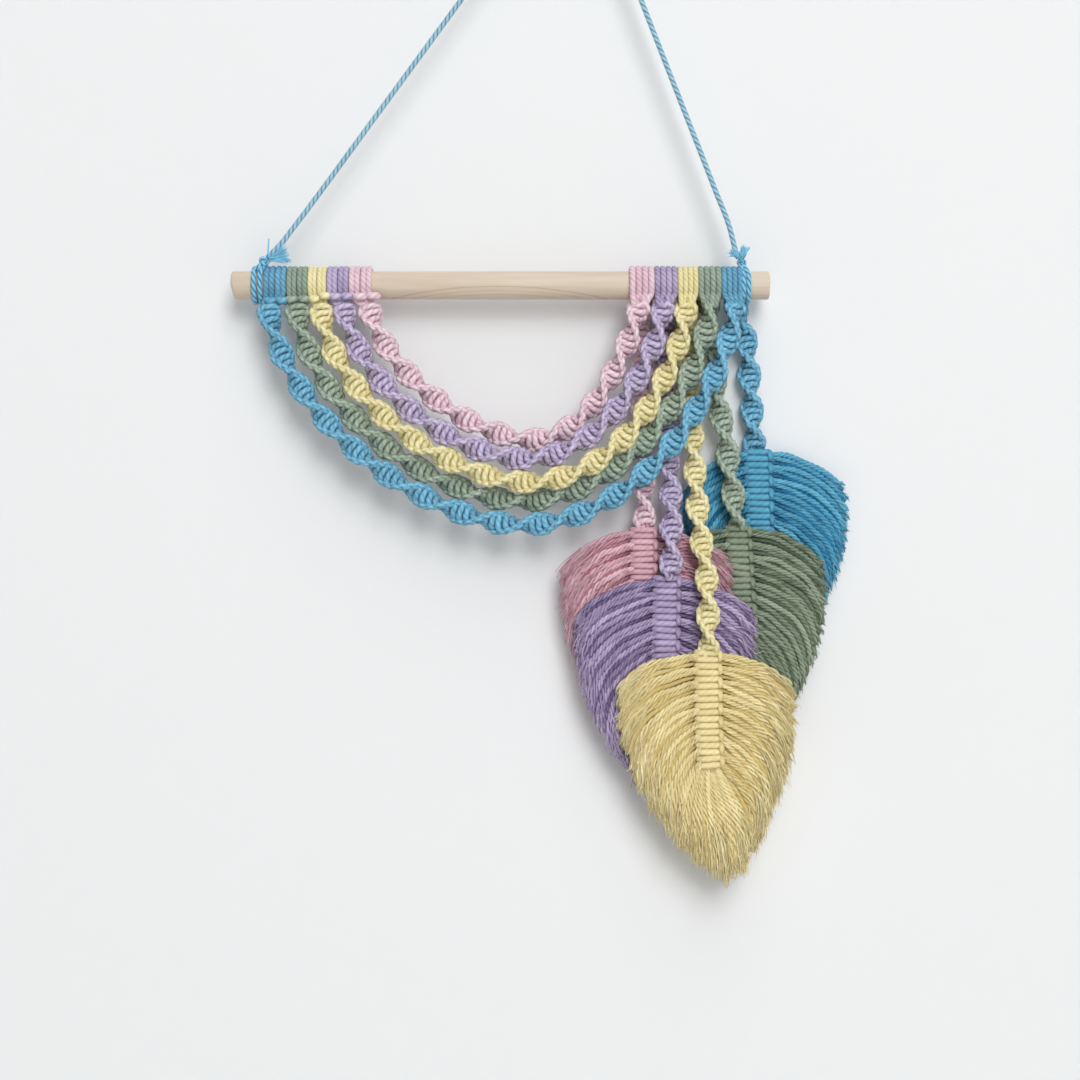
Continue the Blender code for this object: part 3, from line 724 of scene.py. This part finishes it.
class LeafPlan(namedtuple("LeafPlan", "top_x mid_y top_z left right length lean tip_shift row bar combed")):
    """One leaf's place, half widths, length, lean, rows and bars, and how far its sides are combed."""

    def spine(self, down):
        """The x of the spine, a share of the length down."""
        return self.top_x + self.lean * self.length * down + self.tip_shift * down**3

    def spine_at(self, depth):
        return self.spine(depth / self.length)

    def edge(self, side, down):
        wide = np.interp(down, OUTLINE_DOWN, OUTLINE_WIDE) * (self.right if side > 0 else self.left)
        return np.array([self.spine(down) + side * wide, self.top_z - self.length * down])


LEAVES = {
    "blue": LeafPlan(103.5, 13.3, -335.6, 44.5, 52.5, 130.5, 0.03, 0.0, 7.4, 10.7, 0.12),
    "green": LeafPlan(91.6, 7.7, -379.4, 47.0, 50.0, 128.0, 0.06, 0.0, 7.4, 9.6, 0.10),
    "pink": LeafPlan(37.7, 2.2, -380.5, 47.0, 51.5, 128.0, 0.0, 2.0, 6.8, 10.3, 0.75),
    "lavender": LeafPlan(50.6, -3.4, -407.8, 52.0, 52.5, 128.0, -0.02, 2.0, 7.3, 10.4, 0.30),
    "yellow": LeafPlan(73.4, -9.0, -449.6, 51.0, 50.5, 129.7, 0.0, 10.2, 7.45, 10.1, 0.65),
}


def unit(vectors):
    return vectors / np.linalg.norm(vectors, axis=1, keepdims=True)


def bend(start, stop, first_slope, last_slope, side, near_share=0.4, far_share=0.36):
    """One smooth arc in the leaf's plane, with its slopes below level, in degrees, at both ends."""
    reach = np.linalg.norm(stop - start)
    out = [np.array([side * math.cos(math.radians(a)), -math.sin(math.radians(a))])
           for a in (first_slope, last_slope)]
    near, far = start + out[0] * reach * near_share, stop - out[1] * reach * far_share
    t = np.linspace(0, 1, 48)[:, None]
    return (1 - t)**3 * start + 3 * (1 - t)**2 * t * near + 3 * (1 - t) * t**2 * far + t**3 * stop


def spine_row(work, leaf, x, z, tilt, rng):
    """Two bars across the spine, in front and behind, and the loop that the strands come out of."""
    mid_y, front, half = leaf.mid_y, leaf.mid_y - SPINE_FRONT, leaf.bar / 2
    for step in (-1, 1):
        level = z - step * leaf.row / 4
        path = [(x - half - 1.3, mid_y + 0.2, level - tilt * 1.2),
                (x - half + 0.1, front + 0.9, level - tilt),
                (x - half + 1.6, front + 0.05, level - tilt * 0.8),
                (x, front - 0.1, level),
                (x + half - 1.5, front + 0.05, level + tilt * 0.8),
                (x + half - 0.1, front + 0.8, level + tilt),
                (x + half + 1.0, mid_y + 0.4, level + tilt)]
        tone = 0.55 + rng.normal(0, 0.05)
        work.lay(faired(path, 1.2), leaf.row * BAR_FULLNESS, sides=9, shade=tone, painted_side_shade=0.35)
        at_the_back = [(px, 2 * mid_y + 0.5 - py, pz) for px, py, pz in path]
        work.lay(faired(at_the_back, 1.6), leaf.row * BAR_FULLNESS, sides=7, shade=tone, painted_side_shade=0.35)
    high = leaf.row * 0.25
    loop = [(x + half + 0.6, mid_y + 1.4, z + high), (x + half + 1.7, front + 0.8, z + high),
            (x + half + 2.1, front - 0.2, z + high * 0.5), (x + half + 2.2, front - 0.4, z - high * 0.2),
            (x + half + 2.0, front + 0.6, z - high * 0.9), (x + half + 1.2, mid_y + 1.4, z - high)]
    work.lay(faired(loop, 0.8), 1.7, sides=8, shade=0.5 + rng.normal(0, 0.06), painted_side_shade=0.3)


def knot_spine(work, leaf, rng):
    """The rows of knots down the spine, and the four cords of the drop that run on inside them."""
    for row in range(LEAF_ROWS):
        depth = (row + 0.5) * leaf.row
        tilt = rng.normal(0, 0.12) + 0.12 * max(row - 5, 0)
        spine_row(work, leaf, leaf.spine_at(depth), leaf.top_z - depth, tilt, rng)
    knotted = LEAF_ROWS * leaf.row
    top = np.array([leaf.spine(0), leaf.top_z])
    bottom = np.array([leaf.spine_at(knotted), leaf.top_z - knotted])
    middle = (top + bottom) / 2
    for x in (-3.0, -1.0, 1.0, 3.0):
        inner = [(top[0] + x * 0.8, leaf.mid_y, top[1] + 1), (middle[0] + x, leaf.mid_y, middle[1]),
                 (bottom[0] + x, leaf.mid_y, bottom[1] - 2)]
        work.lay(faired(inner, 6.0), 1.6, sides=6, shade=0.4)


def side_strand(leaf, side, number, clump, rng):
    """The middle line of one side strand, from its knot out to the cut edge."""
    wing, back = WINGS[side], number % 2  # every second strand lies a little behind
    u = (number + 0.5) / (2 * LEAF_ROWS)
    depth = (number + 0.5) * leaf.row / 2
    start = np.array([leaf.spine_at(depth) + side * (leaf.bar / 2 + wing.outset), leaf.top_z - depth])
    cut = wing.first_cut + (LAST_CUT - wing.first_cut) * (1 - (1 - u)**wing.cut_power)
    stop = leaf.edge(side, cut + clump + rng.normal(0, 0.004))
    first_slope = wing.first_slope + wing.steeper * u**2 + rng.normal(0, 2)
    last_slope = wing.last_slope + wing.turned * (1 - (1 - u)**wing.turned_power) + rng.normal(0, 3)
    flat = bend(start, stop, first_slope, last_slope, side, 0.42 - 0.24 * u, 0.38 + 0.20 * u)
    gone = np.linalg.norm(flat - start, axis=1)
    share = gone / gone[-1]
    towards = (1 if back else -1) * leaf.row * 0.16  # the strands of one row leave it together
    flat[:, 1] += towards * (0.10 + 0.90 * np.exp(-(gone / SETTLES)**2))
    wander = rng.normal(0, 0.5) * np.sin(share * math.pi)**2
    flat[:, 1] += wander + rng.normal(0, 0.35) * np.sin(share * 2 * math.pi)
    settled = 1 - np.exp(-gone / SETTLES)  # a strand is held straight by its knot, and waves farther out
    flat[:, 1] += rng.uniform(0.2, 0.7) * settled * np.sin(gone / rng.uniform(2.4, 4.2) + rng.uniform(0, 6))
    proud = wing.proud * (0.7 if back else 1.0)
    y = (leaf.mid_y - 0.3 - proud * np.exp(-((gone - wing.rise) / 2.6)**2) + 1.3 * np.exp(-(gone / 1.1)**2)
         + (0.7 if back else -0.1) * (1 - np.exp(-(gone / 12)**2))
         + rng.normal(0, 0.35) * share
         + 0.45 * settled * np.sin(gone / rng.uniform(2.2, 3.6) + rng.uniform(0, 6)))
    return np.stack([flat[:, 0], y, flat[:, 1]], axis=1)


def centre_strand(leaf, number, rng):
    """The middle line of one of the strands that hang from the last row down to the tip."""
    knotted = LEAF_ROWS * leaf.row
    offset = (number - (CENTRE_STRANDS - 1) / 2) / ((CENTRE_STRANDS - 1) / 2)
    start = np.array([leaf.spine_at(knotted) + offset * 4.6, leaf.top_z - knotted + 2.2])
    narrowing = [-wide for wide in OUTLINE_WIDE[WIDEST:]]
    down = float(np.interp(-abs(offset) * CENTRE_SPREAD, narrowing, OUTLINE_DOWN[WIDEST:]))
    down += rng.normal(0, 0.012)
    stop = np.array([leaf.spine(down) + offset * CENTRE_SPREAD * (leaf.right + leaf.left) / 2,
                     leaf.top_z - leaf.length * down])
    flat = bend(start, stop, 90 - abs(offset) * 22, 90, 1 if offset >= 0 else -1)
    y = leaf.mid_y - 0.2 + 0.7 * np.exp(-(np.linspace(0, 1, len(flat)) / 0.06)**2) + rng.normal(0, 0.3)
    y += (number % 2) * 0.4
    return np.stack([flat[:, 0], y, flat[:, 1]], axis=1)


class Strand:
    """One strand of a leaf: its middle line, and how much of it is combed out."""

    def __init__(self, line, combed):
        self.line, self.combed = line, combed
        self.tangent = unit(np.gradient(line, axis=0))
        self.beside = unit(np.cross(self.tangent, (0.0, 1.0, 0.0)))
        self.at = np.concatenate([[0], np.cumsum(np.linalg.norm(np.diff(line, axis=0), axis=1))])
        self.share = self.at / self.at[-1]

    def plies(self, rng):
        """The three plies, which turn round each other and come apart where the strand is combed."""
        unlaid = np.clip((self.share - (1 - self.combed)) / max(self.combed, 0.05), 0, 1)
        lays = np.diff(self.at) / (STRAND_LAY * (1 + 2.5 * unlaid[1:]))
        turns = np.concatenate([[0], np.cumsum(lays)])
        proud = np.cross(self.beside, self.tangent)
        phase = rng.uniform(0, 2 * math.pi)
        body = (0.86 + 0.18 * self.share) * (1 - 0.3 * unlaid)
        radii = body * np.clip((1.02 - self.share) / 0.06, 0.25, 1)
        paths = []
        for ply in range(CORD_PLIES):
            angle = phase + 2 * math.pi * (ply / CORD_PLIES + turns)
            loose = 0.78 + 0.24 * self.share + rng.uniform(0.2, 1.3) * unlaid
            across, lift = np.cos(angle) * loose, np.sin(angle) * (0.78 - 0.2 * unlaid)
            paths.append(self.line + across[:, None] * self.beside + lift[:, None] * proud)
        return paths, [radii] * CORD_PLIES

    def wisps(self, rng):
        """The loose fibres over its combed end."""
        combed = self.combed
        count = int(9 + 26 * combed)
        begin = 0.97 - (0.06 + 0.62 * combed) * rng.uniform(0, 1, count)**0.8
        finish = rng.uniform(0.95, 1.03 + 0.03 * combed, count)
        fan, sway = rng.normal(0, 1.2 + 0.8 * combed, count), rng.normal(0, 0.8, count)
        lift = rng.normal(-0.7, 0.8, count)
        paths = []
        for k in range(count):
            s = np.linspace(begin[k], finish[k], 6)
            inside = np.minimum(s, 1.0)
            path = np.stack([np.interp(inside, self.share, self.line[:, j]) for j in range(3)], axis=1)
            path = path + self.tangent[-1] * (np.maximum(s - 1, 0) * self.at[-1])[:, None]
            across = np.stack([np.interp(inside, self.share, self.beside[:, j]) for j in range(3)], axis=1)
            grow = (s - begin[k]) / (finish[k] - begin[k])
            path = path + across * (fan[k] * (0.45 + 0.55 * grow) + sway[k] * np.sin(grow * 4))[:, None]
            path[:, 1] += lift[k] - 0.7 * grow
            paths.append(path)
        return paths


def knot_leaf(leaf, rng):
    """All of one leaf: its spine, its strands from side to side, their plies and the loose fibres."""
    work = Skein()
    knot_spine(work, leaf, rng)
    wings = {-1: [], 1: []}  # from the top down
    for side, wing in wings.items():
        clump = 0.0
        for number in range(2 * LEAF_ROWS):
            if number % 3 == 0:  # three strands are cut as one clump
                clump = rng.normal(0, 0.006 + 0.006 * leaf.combed)
            wing.append(side_strand(leaf, side, number, clump, rng))
    middle = [centre_strand(leaf, number, rng) for number in range(CENTRE_STRANDS)]
    lines = wings[-1] + middle + wings[1][::-1]
    for first, second in zip(lines[:-1], lines[1:]):  # the strands underneath, in the gaps, painted dark in front as shade and lighter at the back
        between = (first + second) / 2
        between[:, 1] = leaf.mid_y + 0.9
        work.lay(between[1:-1:2], np.linspace(1.2, 2.0, 23), sides=6, shade=0.12 + rng.normal(0, 0.05),
                 behind=0.45)

    plies, radii, wisps = [], [], []
    for number, line in enumerate(lines):
        near_tip = abs(number - len(lines) / 2) < 7
        strand = Strand(line, max(leaf.combed, 0.35 if near_tip else 0))
        strand_plies, strand_radii = strand.plies(rng)
        plies += strand_plies
        radii += strand_radii
        wisps += strand.wisps(rng)
    tones = np.repeat(0.5 + rng.normal(0, 0.12, len(lines)), CORD_PLIES) + rng.normal(0, 0.08, len(plies))
    work.lay(np.array(plies), np.array(radii), sides=5, shade=tones, kind=1, painted_side_shade=0.7)
    wisp_radii = np.linspace(1.0, 0.4, 6)[None, :] * rng.uniform(0.16, 0.40, (len(wisps), 1))
    work.lay(np.array(wisps), wisp_radii, sides=3, shade=rng.uniform(0.3, 1.1, len(wisps)), kind=1)
    return work


for number, (colour, plan) in enumerate(LEAVES.items()):
    leaf = knot_leaf(plan, np.random.default_rng(300 + number))
    spine_cotton = cotton("spine cotton " + colour, *COMBED[colour], laid=0.22)
    combed_cotton = cotton("combed cotton " + colour, *COMBED[colour], laid=0, relief=0.3)
    leaf.piece(
        "combed_leaf_" + colour, [spine_cotton, combed_cotton], ["leaf_" + colour], "fringe_" + colour)


# ---- The wall, the floor and the light ----
# The hanging is shown against a plain pale wall over a plain floor, in soft light from in front and above.
# The wall is clear from behind, and casts no shadow, so that the back of the work is lit and seen too.
WALL_Y, FLOOR_Z = 0.0197, -1.1
AIM = (0, 0, -0.35)


def plain_paint(name, colour, roughness):
    finish = Finish(name)
    place = finish.node("ShaderNodeTexCoord", None, None, output=3)
    grain = finish.node("ShaderNodeTexNoise", None, {"Vector": place, "Scale": 60.0, "Detail": 3.0})
    bump = finish.node("ShaderNodeBump", None, {"Strength": 0.05, "Distance": 1 * MM, "Height": grain})
    painted = finish.node("ShaderNodeBsdfPrincipled", None, {
        "Base Color": srgb(colour), "Roughness": roughness, "Normal": bump})
    behind = finish.node("ShaderNodeNewGeometry", None, None, output=6)
    clear = finish.node("ShaderNodeBsdfTransparent")
    shown = finish.node("ShaderNodeMixShader", None, {0: behind, 1: painted, 2: clear})
    finish.node("ShaderNodeOutputMaterial", None, {"Surface": shown})
    return finish.material


def plain_sheet(name, width, height, place, tilt, material):
    work = bmesh.new()
    bmesh.ops.create_grid(work, x_segments=1, y_segments=1, size=0.5)
    bmesh.ops.scale(work, vec=(width, height, 1), verts=work.verts)
    bmesh.ops.rotate(work, matrix=Matrix.Rotation(math.radians(tilt), 3, "X"), verts=work.verts)
    bmesh.ops.translate(work, vec=place, verts=work.verts)
    mesh = bpy.data.meshes.new(name)
    work.to_mesh(mesh)
    work.free()
    mesh.materials.append(material)
    made = bpy.data.objects.new(name, mesh)
    bpy.context.scene.collection.objects.link(made)
    return made


def soft_light(name, size, power, place, colour):
    lamp = bpy.data.lights.new(name, "AREA")
    lamp.shape, lamp.size, lamp.energy, lamp.color = "DISK", size, power, colour
    made = bpy.data.objects.new(name, lamp)
    made.location = place
    made.rotation_euler = (Vector(AIM) - Vector(place)).to_track_quat("-Z", "Y").to_euler()
    bpy.context.scene.collection.objects.link(made)


wall = plain_sheet("wall", 8, 6, (0, WALL_Y, 1.2), 90, plain_paint("wall paint", "E9EBED", 0.8))
floor = plain_sheet("floor", 8, 8, (0, -3.9, FLOOR_Z), 0, plain_paint("floor paint", "DAD8D4", 0.6))
wall.visible_shadow = False

soft_light("front window", 3.6, 158, (1.7, -8.0, 1.85), (1.0, 0.998, 0.99))
soft_light("high window", 4.2, 312, (1.5, -7.2, 3.9), (1.0, 0.998, 0.99))
soft_light("skylight", 6.0, 182, (0.9, -4.2, 7.0), (0.99, 0.995, 1.0))
soft_light("back room", 3.0, 45, (1.2, 3.6, 1.6), (1.0, 1.0, 1.0))
world = bpy.data.worlds.new("pale room")
world.use_nodes = True
room = world.node_tree.nodes["Background"]
room.inputs["Color"].default_value = (0.99, 0.99, 1.0, 1)
room.inputs["Strength"].default_value = 0.15
bpy.context.scene.world = world
bpy.context.scene.view_settings.view_transform = "Standard"
